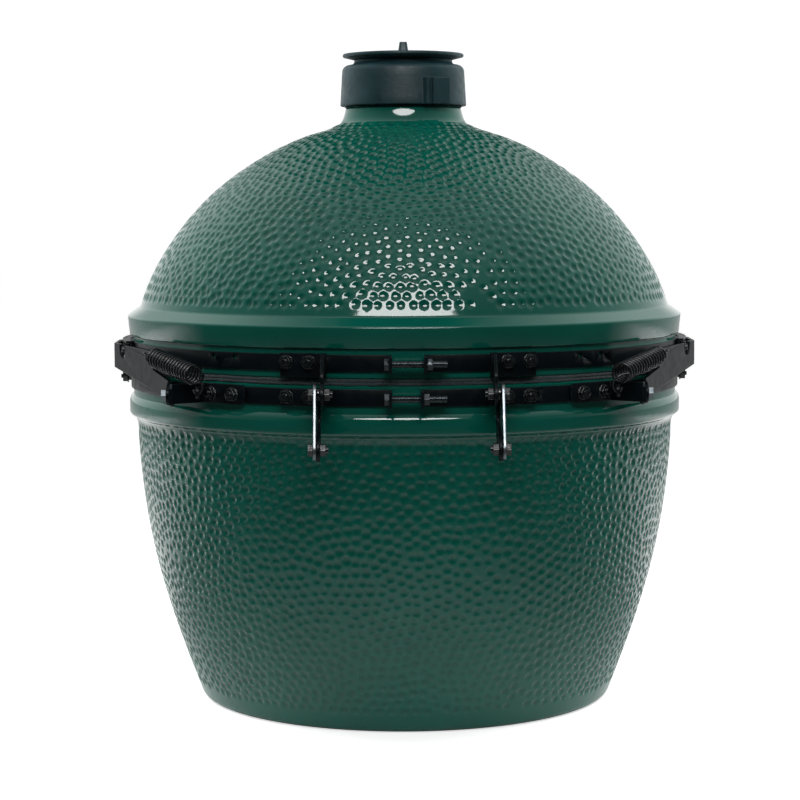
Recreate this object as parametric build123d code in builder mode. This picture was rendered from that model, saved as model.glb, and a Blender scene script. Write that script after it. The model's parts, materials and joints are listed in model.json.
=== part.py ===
# Kamado ceramic grill with a link-and-arm lid hinge, modelled in millimetres.
# The Z axis is the axis of the bowl, the hinge is at -Y and the cook stands at +Y.
# Left is -X. Heights in this file are measured from a datum a little above the flat
# foot; save() raises every part by FOOT_DEPTH, so the foot rests at z = 0.
from build123d import *
import math
import os

os.makedirs("parts", exist_ok=True)

SIDES = ((-1, "left"), (1, "right"))

# ---------------------------------------------------------------- ceramic sizes
FOOT_DEPTH = 6.5              # the foot lies this far below the datum
FOOT_R = 245.0                # flat part of the foot
RIM_R = 337.0                 # outer radius of both rims, under the bands
RIM_BORE = 308.0              # inner radius of both rims
BASE_TOP = 404.0              # top face of the base rim
LID_BOTTOM = 411.0            # bottom face of the lid rim
FLANGE_R = 342.0              # collar of the base below the band
LID_FLANGE_R = 343.0          # collar of the lid above the band
FLOOR_Z = 26.0                # inside floor of the base
NECK_R = 72.0                 # outer radius of the chimney neck
NECK_BORE = 45.0
NECK_TOP = 722.5

# ------------------------------------------------------------------ band sizes
BAND_T = 3.0
BAND_H = 19.0
BAND_R = RIM_R + BAND_T       # outside of a band
LOWER_BAND_Z = 381.0
UPPER_BAND_Z = 419.5
BAND_EAR_DEPTH = 25.0         # how far the clamping ears stand out
LOWER_EARS_X = (-20.0, 15.0)
UPPER_EARS_X = (-20.0, 18.5)
BAND_BOLT_Y = -353.0
LOWER_BAND_BOLT_Z = LOWER_BAND_Z + BAND_H / 2
UPPER_BAND_BOLT_Z = UPPER_BAND_Z + BAND_H / 2
PLATE_T = 4.0                 # thickness of the pressed brackets
PLATE_R = BAND_R + PLATE_T

# ------------------------------------------------------------- fastener sizes
BOLT_R = 4.0                  # M8 thread
BOLT_AF = 13.0                # across flats of its head and nut
HEAD_H = 5.5
NUT_H = 6.5
WASHER_R = 8.0
WASHER_H = 1.2
THREAD_END = 2.5              # thread that shows past a nut
FIT = 0.05                    # radial gap of a fastener in its hole
RUN = 0.08                    # radial running gap of a pivot

# ------------------------------------------------- lid linkage, (y, z) pivots
ARM_BASE_PIVOT = (-255.0, 388.0)
ARM_LID_PIVOT = (12.0, 424.4)
LINK_BASE_PIVOT = (-388.0, 338.5)
LINK_LID_PIVOT = (-360.0, 397.0)
PIVOT_R = 5.0                 # pivot pins of the arms
LID_SLOT_REACH = 12.0         # half travel of the link pin in the lid ear
UPPER_EAR_X = 93.6            # inboard faces of the three plates, side by side
LOWER_EAR_X = 97.6
LINK_X = 101.6
EAR_T = 3.6
ARM_T = 4.0
ARM_END_R = 11.5
ARM_BASE_X = 273.5            # middle plane of the arm at its lower pivot
ARM_LID_X = 355.5             # middle plane of the arm at its upper pivot
ARM_SPRING_HOLE = (-173.0, 424.0)
ARM_NOTCH = (-75.4, 429.0)     # clears a bracket bolt while the lid is shut
SPRING_TAB_X = 235.5
SPRING_TAB_HOLE = (-289.0, 394.0)


def rear_point(radius, psi):
    """Plan point at an angle measured from the rear centre toward +X."""
    a = math.radians(psi)
    return (radius * math.sin(a), -radius * math.cos(a))


def radial_plane(radius, psi, z):
    """Plane facing outward, square to the radius at that angle and height."""
    x, y = rear_point(1.0, psi)
    return Plane(origin=(radius * x, radius * y, z), x_dir=(-y, x, 0), z_dir=(x, y, 0))


def sector_outline(r_in, r_out, psi_a, psi_b):
    """Draw the outline of a ring sector in the open line context."""
    mid = (psi_a + psi_b) / 2
    outer = ThreePointArc(rear_point(r_out, psi_a), rear_point(r_out, mid), rear_point(r_out, psi_b))
    inner = ThreePointArc(rear_point(r_in, psi_a), rear_point(r_in, mid), rear_point(r_in, psi_b))
    Line(outer @ 0, inner @ 0)
    Line(outer @ 1, inner @ 1)


def side_plane(x):
    """Plane square to X whose local axes are y and z."""
    return Plane.YZ.offset(x)


def save(builder, name):
    """Raise a finished part from the datum to the foot, name it and write it."""
    raised = Pos(0, 0, FOOT_DEPTH) * builder.part
    raised.label = name
    export_step(raised, f"parts/{name}.step")


# ============================================================ ceramic shells
# Draft opening: its lower edge follows a cone that hugs the wall of the base.
DRAFT_FOOT = (276.1, 53.0)
DRAFT_SLOPE = math.radians(18.22)
DRAFT_T = (math.sin(DRAFT_SLOPE), math.cos(DRAFT_SLOPE))
DRAFT_N = (math.cos(DRAFT_SLOPE), -math.sin(DRAFT_SLOPE))
DRAFT_HALF = 15.0             # half width of the opening, degrees
DRAFT_LOW = 4.4               # opening, measured up the wall
DRAFT_HIGH = 65.6


def draft_point(s, n):
    """Radius and height at s up the wall and n out of it."""
    r = DRAFT_FOOT[0] + s * DRAFT_T[0] + n * DRAFT_N[0]
    z = DRAFT_FOOT[1] + s * DRAFT_T[1] + n * DRAFT_N[1]
    return (r, z)


def azimuth_plane(angle):
    """Upright plane through the axis: local x is the radius, local y is z."""
    a = math.radians(angle)
    return Plane(origin=(0, 0, 0), x_dir=(math.cos(a), math.sin(a), 0),
                 z_dir=(math.sin(a), -math.cos(a), 0))


def draft_strip(s0, s1, n0, n1):
    """Face of a strip that is swept around the axis to hug the wall."""
    Polygon(draft_point(s0, n0), draft_point(s1, n0), draft_point(s1, n1),
            draft_point(s0, n1), align=None)


with BuildPart() as base_shell:
    with BuildSketch(Plane.XZ):
        with BuildLine():
            Line((0, -FOOT_DEPTH), (FOOT_R, -FOOT_DEPTH))
            ThreePointArc((FOOT_R, -FOOT_DEPTH), (253, -4), (256.8, 1.5))
            Spline((256.8, 1.5), (276.1, 53), (299.8, 125), (317.2, 196), (327.6, 267), (332.5, 337))
            Spline((332.5, 337), (335.4, 344.6), (FLANGE_R, 351), tangents=((0.1, 1), (0.3, 1)))
            Line((FLANGE_R, 351), (FLANGE_R, 362))
            ThreePointArc((FLANGE_R, 362), (341, 367.8), (338, 372))
            Polyline((338, 372), (RIM_R, 372), (RIM_R, BASE_TOP - 2), (RIM_R - 2, BASE_TOP))
            Polyline((RIM_R - 2, BASE_TOP), (RIM_BORE, BASE_TOP), (RIM_BORE, 372))
            Spline((RIM_BORE, 372), (306.5, 267), (296, 196), (278, 125), (253, 56))
            ThreePointArc((253, 56), (241, 38), (222, FLOOR_Z))
            Polyline((222, FLOOR_Z), (0, FLOOR_Z), (0, -FOOT_DEPTH))
        make_face()
    revolve(axis=Axis.Z)
    with BuildSketch(azimuth_plane(90 - DRAFT_HALF)):
        draft_strip(DRAFT_LOW, DRAFT_HIGH, -60, 15)
    revolve(axis=Axis.Z, revolution_arc=2 * DRAFT_HALF, mode=Mode.SUBTRACT)
save(base_shell, "base_shell")

# Thermometer axis: square to the dome on the cook's side.
GAUGE_DIR = (0, 0.79, 0.613)
GAUGE_FOOT = (0, 289.0, 560.5)
GAUGE_HOLE_R = 6.0
gauge_plane = Plane(origin=GAUGE_FOOT, x_dir=(-1, 0, 0), z_dir=GAUGE_DIR)

with BuildPart() as lid_shell:
    with BuildSketch(Plane.XZ):
        with BuildLine():
            Polyline((RIM_BORE, LID_BOTTOM), (RIM_R - 2, LID_BOTTOM), (RIM_R, LID_BOTTOM + 2))
            Polyline((RIM_R, LID_BOTTOM + 2), (RIM_R, 445), (339, 445))
            ThreePointArc((339, 445), (340.6, 445.6), (341.2, 447))
            Line((341.2, 447), (LID_FLANGE_R, 466.5))
            ThreePointArc((LID_FLANGE_R, 466.5), (342.9, 468.8), (341.2, 470.4))
            Line((341.2, 470.4), (329.5, 478.4))
            ThreePointArc((329.5, 478.4), (327.7, 480), (326.7, 482))
            Spline((326.7, 482), (311.6, 520), (281.1, 569), (237, 618), (187.4, 655),
                   (140.9, 680), (106.1, 692.5))
            Spline((106.1, 692.5), (94, 696.2), (85, 699.6), (78.6, 703.8), (75.2, 709),
                   (73.2, 715), (NECK_R, NECK_TOP - 2), tangents=((-34.8, 12.2), (-0.12, 1)))
            Polyline((NECK_R, NECK_TOP - 2), (NECK_R - 2, NECK_TOP), (NECK_BORE, NECK_TOP))
            Line((NECK_BORE, NECK_TOP), (NECK_BORE, 686))
            Spline((NECK_BORE, 686), (99.6, 674.5), (177.7, 638.7), (224.6, 603.6),
                   (266.3, 557.2), (294.5, 511.6), (306, 475), (RIM_BORE, 445))
            Line((RIM_BORE, 445), (RIM_BORE, LID_BOTTOM))
        make_face()
    revolve(axis=Axis.Z)
    with BuildSketch(gauge_plane.offset(-60)):
        Circle(GAUGE_HOLE_R)
    extrude(amount=80, mode=Mode.SUBTRACT)
save(lid_shell, "lid_shell")

# Felt seals, one glued to each rim, meeting at the parting plane.
GASKET_IN = 310.0
GASKET_OUT = 336.0
PARTING_Z = (BASE_TOP + LID_BOTTOM) / 2
for name, z_low, z_high in (("base_gasket", BASE_TOP, PARTING_Z - FIT),
                            ("lid_gasket", PARTING_Z + FIT, LID_BOTTOM)):
    with BuildPart() as gasket:
        with BuildSketch(Plane.XY.offset(z_low)):
            Circle(GASKET_OUT)
            Circle(GASKET_IN, mode=Mode.SUBTRACT)
        extrude(amount=z_high - z_low)
    save(gasket, name)


# ======================================================== bands and brackets
REAR_BOLTS = (18.7, 23.2)     # bolt angles of each rear bracket
REAR_PLATE = (15.5, 24.6)     # the arc that a rear bracket covers
SPRING_BOLTS = (35.2, 40.5)
SPRING_PLATE = (32.5, 43.5)
ARM_BOLTS = (77.5, 97.5)
ARM_PLATE = (75.0, 100.0)
HANDLE_BOLTS = (152.5, 158.0)
HANDLE_PLATE = (148.0, 160.5)
STOP_PSI = 90.0
LOWER_BOLT_Z = 391.0
REAR_UPPER_BOLT_Z = 430.0
ARM_BOLT_Z = 429.0
STOP_BOLT_R = 3.0


def both_sides(angles):
    """The same angles to the left and to the right of the rear centre."""
    return [sign * psi for sign, _ in SIDES for psi in angles]


def radial_pegs(angles, z, radius):
    """Cylinders square to the band, used to cut bolt holes."""
    with BuildPart() as pegs:
        for psi in angles:
            with BuildSketch(radial_plane(RIM_R - 10, psi, z)):
                Circle(radius)
            extrude(amount=30)
    return pegs.part


def hoop(z, ears_x):
    """Split hoop with two clamping ears at the rear."""
    left, right = ears_x
    with BuildPart() as ring:
        with BuildSketch(Plane.XY.offset(z)):
            Circle(BAND_R)
            Circle(RIM_R, mode=Mode.SUBTRACT)
            with Locations(((left + right) / 2, -RIM_R)):
                Rectangle(right - left, 40, mode=Mode.SUBTRACT)
            for x in ears_x:
                with Locations((x, -RIM_R - (BAND_EAR_DEPTH + BAND_T) / 2)):
                    Rectangle(BAND_T, BAND_EAR_DEPTH + BAND_T)
        extrude(amount=BAND_H)
        with BuildSketch(side_plane(left - 10)):
            with Locations((BAND_BOLT_Y, z + BAND_H / 2)):
                Circle(BOLT_R + FIT)
        extrude(amount=right - left + 20, mode=Mode.SUBTRACT)
    return ring.part


lower_hoop = hoop(LOWER_BAND_Z, LOWER_EARS_X)
lower_pegs = radial_pegs(both_sides(REAR_BOLTS + SPRING_BOLTS), LOWER_BOLT_Z, BOLT_R + FIT)
stop_pegs = radial_pegs(both_sides((STOP_PSI,)), LOWER_BOLT_Z, STOP_BOLT_R + FIT)
with BuildPart() as lower_band:
    add(lower_hoop)
    add(lower_pegs, mode=Mode.SUBTRACT)
    add(stop_pegs, mode=Mode.SUBTRACT)
save(lower_band, "lower_band")

SPARE_HOLE_R = 2.75
SPARE_HOLE_Z = 433.0
upper_hoop = hoop(UPPER_BAND_Z, UPPER_EARS_X)
rear_upper_pegs = radial_pegs(both_sides(REAR_BOLTS), REAR_UPPER_BOLT_Z, BOLT_R + FIT)
upper_pegs = radial_pegs(both_sides(ARM_BOLTS + HANDLE_BOLTS), ARM_BOLT_Z, BOLT_R + FIT)
spare_pegs = radial_pegs(both_sides(SPRING_BOLTS), SPARE_HOLE_Z, SPARE_HOLE_R)
with BuildPart() as upper_band:
    add(upper_hoop)
    add(rear_upper_pegs, mode=Mode.SUBTRACT)
    add(upper_pegs, mode=Mode.SUBTRACT)
    add(spare_pegs, mode=Mode.SUBTRACT)
save(upper_band, "upper_band")


def hexagon(across_flats=BOLT_AF):
    """Hexagon of a bolt head or nut, in the open sketch."""
    RegularPolygon(across_flats / 2, 6, major_radius=False)


# Clamping bolts of the bands: the head bears on the left ear, the nut on the right.
for name, z, ears_x in (("lower_band", LOWER_BAND_BOLT_Z, LOWER_EARS_X),
                        ("upper_band", UPPER_BAND_BOLT_Z, UPPER_EARS_X)):
    head_x = ears_x[0] - BAND_T / 2
    nut_x = ears_x[1] + BAND_T / 2
    with BuildPart() as clamp_bolt:
        with BuildSketch(side_plane(head_x - HEAD_H)):
            with Locations((BAND_BOLT_Y, z)):
                hexagon()
        extrude(amount=HEAD_H)
        with BuildSketch(side_plane(head_x - 1)):
            with Locations((BAND_BOLT_Y, z)):
                Circle(BOLT_R)
        extrude(amount=43 - head_x + 1)
        chamfer(clamp_bolt.faces().sort_by(Axis.X)[-1].edges(), 0.8)
    save(clamp_bolt, f"{name}_bolt")
    with BuildPart() as clamp_nut:
        with BuildSketch(side_plane(nut_x)):
            with Locations((BAND_BOLT_Y, z)):
                hexagon()
                Circle(BOLT_R + FIT, mode=Mode.SUBTRACT)
        extrude(amount=NUT_H)
    save(clamp_nut, f"{name}_nut")


def bracket_foot(psi_range, side, z, height, r_out=PLATE_R):
    """Bracket foot that hugs the band."""
    with BuildPart() as foot:
        with BuildSketch(Plane.XY.offset(z)):
            with BuildLine():
                sector_outline(BAND_R, r_out, side * psi_range[0], side * psi_range[1])
            make_face()
        extrude(amount=height)
    return foot.part


def inboard(side, x, thickness):
    """Lowest x of a plate whose inboard face is at x on that side."""
    return x if side > 0 else -x - thickness


UPPER_PLATE_Z = 413.0
UPPER_PLATE_H = 27.0
EAR_END_R = 12.0
PIN_SLOT_R = BOLT_R + 1.4
for side, tag in SIDES:
    by, bz = LINK_LID_PIVOT
    foot = bracket_foot(REAR_PLATE, side, UPPER_PLATE_Z, UPPER_PLATE_H)
    with BuildPart() as rear_upper_bracket:
        add(foot)
        with BuildSketch(side_plane(inboard(side, UPPER_EAR_X, EAR_T))) as upper_ear:
            Polygon((-327, 440), (-343, 440), (-375, 420), (-375, bz), (-345, bz),
                    (-337, 413), (-327, 413), align=None)
            fillet(upper_ear.vertices().sort_by_distance((-375, 420))[0], 9)
            fillet(upper_ear.vertices().sort_by_distance((-343, 440))[0], 10)
            with Locations((by, bz)):
                SlotCenterToCenter(2 * LID_SLOT_REACH, 2 * EAR_END_R)
                SlotCenterToCenter(2 * LID_SLOT_REACH, 2 * PIN_SLOT_R, mode=Mode.SUBTRACT)
        extrude(amount=EAR_T)
        add(rear_upper_pegs, mode=Mode.SUBTRACT)
    save(rear_upper_bracket, f"rear_upper_bracket_{tag}")

    ly, lz = LINK_BASE_PIVOT
    foot = bracket_foot(REAR_PLATE, side, LOWER_BAND_Z, BAND_H)
    with BuildPart() as rear_lower_bracket:
        add(foot)
        with BuildSketch(side_plane(inboard(side, LOWER_EAR_X, EAR_T))) as lower_ear:
            Polygon((-327, 400), (-344, 400), (-347, 364), (ly - 2, 351), (ly, 325.5),
                    (-342, 331), (-331, 344), (-331, 381), (-327, 381), align=None)
            fillet(lower_ear.vertices().sort_by_distance((-347, 364))[0], 8)
            with Locations((ly, lz)):
                Circle(13)
                Circle(BOLT_R + FIT, mode=Mode.SUBTRACT)
        extrude(amount=EAR_T)
        add(lower_pegs, mode=Mode.SUBTRACT)
    save(rear_lower_bracket, f"rear_lower_bracket_{tag}")

# Links between the rear brackets.
link_dy = LINK_LID_PIVOT[0] - LINK_BASE_PIVOT[0]
link_dz = LINK_LID_PIVOT[1] - LINK_BASE_PIVOT[1]
link_mid = (LINK_BASE_PIVOT[0] + link_dy / 2, LINK_BASE_PIVOT[1] + link_dz / 2)
for side, tag in SIDES:
    with BuildPart() as rear_link:
        with BuildSketch(side_plane(inboard(side, LINK_X, EAR_T))):
            with Locations(link_mid):
                SlotCenterToCenter(math.hypot(link_dy, link_dz), 24,
                                   rotation=math.degrees(math.atan2(link_dz, link_dy)))
            with Locations(LINK_BASE_PIVOT):
                Circle(BOLT_R + RUN, mode=Mode.SUBTRACT)
            with Locations(LINK_LID_PIVOT):
                Circle(BOLT_R + FIT, mode=Mode.SUBTRACT)
        extrude(amount=EAR_T)
        chamfer(rear_link.faces().filter_by(Axis.X).edges(), 0.5)
    save(rear_link, f"rear_link_{tag}")


def cross_bolts(pivot, head_x, tip_x, radius, across_flats):
    """Pair of bolts along X, heads outboard, one on each side."""
    with BuildPart() as bolts:
        for side, _ in SIDES:
            with BuildSketch(side_plane(inboard(side, head_x, HEAD_H))):
                with Locations(pivot):
                    hexagon(across_flats)
            extrude(amount=HEAD_H)
            with BuildSketch(side_plane(inboard(side, tip_x, head_x - tip_x + 1))):
                with Locations(pivot):
                    Circle(radius)
            extrude(amount=head_x - tip_x + 1)
    return bolts


def cross_nuts(pivot, x, radius, across_flats):
    """Pair of nuts along X whose inboard faces are at x."""
    with BuildPart() as nuts:
        for side, _ in SIDES:
            with BuildSketch(side_plane(inboard(side, x, NUT_H))):
                with Locations(pivot):
                    hexagon(across_flats)
                    Circle(radius + FIT, mode=Mode.SUBTRACT)
            extrude(amount=NUT_H)
    return nuts


LINK_OUT_X = LINK_X + EAR_T
GAP = 0.2
base_nut_x = LOWER_EAR_X - NUT_H
lid_nut_x = UPPER_EAR_X - GAP - NUT_H
link_base_pins = cross_bolts(LINK_BASE_PIVOT, LINK_OUT_X + GAP, base_nut_x - 3, BOLT_R, BOLT_AF)
save(link_base_pins, "link_base_pins")
link_base_nuts = cross_nuts(LINK_BASE_PIVOT, base_nut_x, BOLT_R, BOLT_AF)
save(link_base_nuts, "link_base_nuts")
link_lid_pins = cross_bolts(LINK_LID_PIVOT, LINK_OUT_X, lid_nut_x - 3, BOLT_R, BOLT_AF)
save(link_lid_pins, "link_lid_pins")
link_lid_nuts = cross_nuts(LINK_LID_PIVOT, lid_nut_x, BOLT_R, BOLT_AF)
save(link_lid_nuts, "link_lid_nuts")
with BuildPart() as link_spacers:
    for side, _ in SIDES:
        spacer_x = UPPER_EAR_X + EAR_T + GAP
        with BuildSketch(side_plane(inboard(side, spacer_x, LINK_X - spacer_x))):
            with Locations(LINK_LID_PIVOT):
                Circle(7.5)
                Circle(BOLT_R + FIT, mode=Mode.SUBTRACT)
        extrude(amount=LINK_X - spacer_x)
save(link_spacers, "link_spacers")


def radial_bolts(angles, z, r_head, radius=BOLT_R):
    """Bolts through a bracket and its band, each with its nut run up outside."""
    with BuildPart() as bolts:
        for psi in both_sides(angles):
            with BuildSketch(radial_plane(r_head, psi, z)):
                Circle(WASHER_R)
            extrude(amount=WASHER_H)
            with BuildSketch(radial_plane(r_head, psi, z)):
                hexagon()
            extrude(amount=WASHER_H + HEAD_H)
            with BuildSketch(radial_plane(r_head, psi, z)):
                Circle(radius - 0.4)
            extrude(amount=WASHER_H + HEAD_H + THREAD_END)
            with BuildSketch(radial_plane(RIM_R + GAP, psi, z)):
                Circle(radius)
            extrude(amount=r_head - RIM_R - GAP + 1)
    return bolts.part


lower_bolts = radial_bolts(REAR_BOLTS + SPRING_BOLTS, LOWER_BOLT_Z, PLATE_R)
with BuildPart() as lower_bracket_bolts:
    add(lower_bolts)
save(lower_bracket_bolts, "lower_bracket_bolts")
rear_upper_bolts = radial_bolts(REAR_BOLTS, REAR_UPPER_BOLT_Z, PLATE_R)
side_upper_bolts = radial_bolts(ARM_BOLTS + HANDLE_BOLTS, ARM_BOLT_Z, PLATE_R)
with BuildPart() as upper_bracket_bolts:
    add(rear_upper_bolts)
    add(side_upper_bolts)
save(upper_bracket_bolts, "upper_bracket_bolts")

# Stops on the lower band under the arms.
STOP_NUT_H = 5.0
stop_bolts = radial_bolts((STOP_PSI,), LOWER_BOLT_Z, BAND_R + STOP_NUT_H, STOP_BOLT_R)
with BuildPart() as side_stop_bolts:
    add(stop_bolts)
save(side_stop_bolts, "side_stop_bolts")
with BuildPart() as side_stop_nuts:
    for psi in both_sides((STOP_PSI,)):
        with BuildSketch(radial_plane(BAND_R, psi, LOWER_BOLT_Z)):
            hexagon(10.0)
            Circle(STOP_BOLT_R + FIT, mode=Mode.SUBTRACT)
        extrude(amount=STOP_NUT_H)
save(side_stop_nuts, "side_stop_nuts")

# Brackets of the arms and springs on the lower band.
ARM_EAR_IN = ARM_BASE_X - ARM_T / 2 - GAP - PLATE_T
ARM_EAR_H = 26.0
SPRING_PLATE_Z = 379.5
SPRING_PLATE_H = 22.5
SPRING_TAB_ROOT = -254.0      # y where the spring tab leaves the bracket foot
SPRING_TAB_MID = (SPRING_TAB_ROOT + SPRING_TAB_HOLE[0]) / 2
SPRING_TAB_LENGTH = SPRING_TAB_ROOT - SPRING_TAB_HOLE[0]
for side, tag in SIDES:
    ay, az = ARM_BASE_PIVOT
    foot = bracket_foot(SPRING_PLATE, side, SPRING_PLATE_Z, SPRING_PLATE_H)
    with BuildPart() as spring_bracket:
        add(foot)
        with BuildSketch(Plane.XY.offset(SPRING_PLATE_Z)):
            Polygon((side * 232.5, -249), (side * 233.5, -253), (side * ARM_EAR_IN, -276),
                    (side * (ARM_EAR_IN + 2), -272), align=None)
        extrude(amount=SPRING_PLATE_H)
        with BuildSketch(side_plane(inboard(side, ARM_EAR_IN, PLATE_T))):
            with Locations((ay - 10.5, az)):
                Rectangle(21, 18)
            with Locations((ay, az)):
                Circle(ARM_EAR_H / 2)
                Circle(PIVOT_R + FIT, mode=Mode.SUBTRACT)
        extrude(amount=PLATE_T)
        with BuildSketch(side_plane(inboard(side, SPRING_TAB_X, PLATE_T))):
            with Locations((SPRING_TAB_MID, SPRING_TAB_HOLE[1] - 2)):
                Rectangle(SPRING_TAB_LENGTH, 12)
            with Locations(SPRING_TAB_HOLE):
                Circle(7)
                Circle(3.2, mode=Mode.SUBTRACT)
        extrude(amount=PLATE_T)
        add(lower_pegs, mode=Mode.SUBTRACT)
        end_x, end_y = rear_point(BAND_R + PLATE_T / 2, side * SPRING_PLATE[0])
        for end_z in (SPRING_PLATE_Z, SPRING_PLATE_Z + SPRING_PLATE_H):
            fillet(spring_bracket.edges().sort_by_distance((end_x, end_y, end_z))[0], 7)
    save(spring_bracket, f"spring_bracket_{tag}")

# Lift arms: strips joggled in plan, deeper toward the lid pivot, with a hole for the spring.
ARM_BEND_REAR = -235.0
ARM_BEND_FRONT = -45.0
for side, tag in SIDES:
    with BuildPart() as lift_arm:
        with BuildSketch(Plane.XY.offset(360)):
            with BuildLine() as arm_line:
                Polyline((side * ARM_BASE_X, -280), (side * ARM_BASE_X, ARM_BEND_REAR),
                         (side * ARM_LID_X, ARM_BEND_FRONT), (side * ARM_LID_X, 40))
                offset(amount=ARM_T / 2, side=Side.BOTH, kind=Kind.INTERSECTION)
            make_face()
        extrude(amount=90)
        with BuildSketch(side_plane(-400)) as arm_side:
            Polygon((-255, 399.5), (-184, 411.5), (-182, 433), (-60, 435), (12, 435.9),
                    (12, 412.9), (-150, 392), (-255, 376.5), align=None)
            fillet(arm_side.vertices().sort_by_distance((-182, 433))[0], 6)
            with Locations(ARM_BASE_PIVOT, ARM_LID_PIVOT):
                Circle(ARM_END_R)
            with Locations(ARM_BASE_PIVOT, ARM_LID_PIVOT):
                Circle(PIVOT_R + RUN, mode=Mode.SUBTRACT)
            with Locations(ARM_SPRING_HOLE):
                Circle(3.2, mode=Mode.SUBTRACT)
            with Locations(ARM_NOTCH):
                Circle(10.5, mode=Mode.SUBTRACT)
            with Locations((ARM_NOTCH[0], ARM_NOTCH[1] + 10)):
                Rectangle(21, 20, mode=Mode.SUBTRACT)
        extrude(amount=800, mode=Mode.INTERSECT)
    save(lift_arm, f"lift_arm_{tag}")

# Pins of the arms.
PIVOT_AF = 13.0
ARM_BASE_TIP = 2.0             # thread past the lower nut
ARM_OUT = ARM_BASE_X + ARM_T / 2 + GAP
arm_nut_x = ARM_EAR_IN - NUT_H
arm_base_pins = cross_bolts(ARM_BASE_PIVOT, ARM_OUT, arm_nut_x - ARM_BASE_TIP, PIVOT_R,
                           PIVOT_AF)
save(arm_base_pins, "arm_base_pins")
arm_base_nuts = cross_nuts(ARM_BASE_PIVOT, arm_nut_x, PIVOT_R, PIVOT_AF)
save(arm_base_nuts, "arm_base_nuts")
ARM_BOSS_OUT = ARM_LID_X - ARM_T / 2 - GAP
arm_head_x = ARM_LID_X + ARM_T / 2 + GAP
arm_lid_pins = cross_bolts(ARM_LID_PIVOT, arm_head_x, BAND_R + 5, PIVOT_R, PIVOT_AF)
save(arm_lid_pins, "arm_lid_pins")

# Upper side brackets: a foot with a stiffening ledge along its top and a boss for the pin.
LEDGE_T = 2.5
LEDGE_Z = UPPER_BAND_Z + BAND_H - 1.0
LEDGE_DEPTH = 6.0
PIN_BOSS_R = 9.0
PIN_BORE_X = BAND_R + 4.5      # depth reached by the blind bore of the boss
for side, tag in SIDES:
    foot = bracket_foot(ARM_PLATE, side, UPPER_BAND_Z, BAND_H)
    ledge = bracket_foot(ARM_PLATE, side, LEDGE_Z, LEDGE_T, PLATE_R + LEDGE_DEPTH)
    with BuildPart() as side_upper_bracket:
        add(foot)
        add(ledge)
        with BuildSketch(side_plane(inboard(side, BAND_R + 2, ARM_BOSS_OUT - BAND_R - 2))):
            with Locations(ARM_LID_PIVOT):
                Circle(PIN_BOSS_R)
        extrude(amount=ARM_BOSS_OUT - BAND_R - 2)
        with BuildSketch(side_plane(inboard(side, PIN_BORE_X, 20))):
            with Locations(ARM_LID_PIVOT):
                Circle(PIVOT_R + FIT)
        extrude(amount=20, mode=Mode.SUBTRACT)
        add(upper_pegs, mode=Mode.SUBTRACT)
    save(side_upper_bracket, f"side_upper_bracket_{tag}")

# Tension springs between the lower brackets and the arm lugs.
SPRING_R = 7.6                # mean radius of the coil
SPRING_WIRE = 1.8
SPRING_START = Vector(240, -288, 413)
SPRING_END = Vector(294, -192, 426.4)
SPRING_TURNS = 18
spring_axis = (SPRING_END - SPRING_START).normalized()
spring_length = (SPRING_END - SPRING_START).length
for side, tag in SIDES:
    start = Vector(side * SPRING_START.X, SPRING_START.Y, SPRING_START.Z)
    axis = Vector(side * spring_axis.X, spring_axis.Y, spring_axis.Z)
    with BuildPart() as coil:
        with BuildLine() as coil_line:
            Helix(pitch=spring_length / SPRING_TURNS, height=spring_length, radius=SPRING_R)
        with BuildSketch(coil_line.line ^ 0):
            Circle(SPRING_WIRE)
        sweep(path=coil_line.line, is_frenet=True)
    with BuildPart() as lift_spring:
        with Locations(Plane(origin=start, z_dir=axis).location):
            add(coil.part)
    save(lift_spring, f"lift_spring_{tag}")

# ================================================================= handle
HANDLE_Y = 398.0
HANDLE_Z = 426.0
HANDLE_X = 176.0
HANDLE_R = 17.0
for side, tag in SIDES:
    foot = bracket_foot(HANDLE_PLATE, side, UPPER_BAND_Z, BAND_H)
    with BuildPart() as handle_bracket:
        add(foot)
        with BuildSketch(side_plane(inboard(side, HANDLE_X, PLATE_T))):
            with Locations(((HANDLE_Y + 291) / 2, HANDLE_Z + 3)):
                Rectangle(HANDLE_Y - 291, BAND_H)
            with Locations((HANDLE_Y, HANDLE_Z)):
                Circle(15)
                Circle(BOLT_R + FIT, mode=Mode.SUBTRACT)
        extrude(amount=PLATE_T)
        add(upper_pegs, mode=Mode.SUBTRACT)
    save(handle_bracket, f"handle_bracket_{tag}")
with BuildPart() as handle_bar:
    with BuildSketch(Plane.XY.offset(HANDLE_Z)):
        with BuildLine():
            Line((-HANDLE_X, HANDLE_Y), (-HANDLE_X, HANDLE_Y + HANDLE_R - 3))
            ThreePointArc((-HANDLE_X, HANDLE_Y + HANDLE_R - 3), (0, HANDLE_Y + HANDLE_R),
                          (HANDLE_X, HANDLE_Y + HANDLE_R - 3))
            Polyline((HANDLE_X, HANDLE_Y + HANDLE_R - 3), (HANDLE_X, HANDLE_Y),
                     (-HANDLE_X, HANDLE_Y))
        make_face()
    revolve(axis=Axis((0, HANDLE_Y, HANDLE_Z), (1, 0, 0)))
    for side, _ in SIDES:
        with BuildSketch(side_plane(inboard(side, HANDLE_X - 40, 40))):
            with Locations((HANDLE_Y, HANDLE_Z)):
                Circle(BOLT_R + FIT)
        extrude(amount=40, mode=Mode.SUBTRACT)
save(handle_bar, "handle_bar")
handle_bolts = cross_bolts((HANDLE_Y, HANDLE_Z), HANDLE_X + PLATE_T, HANDLE_X - 35,
                           BOLT_R, BOLT_AF)
save(handle_bolts, "handle_bolts")

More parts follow.
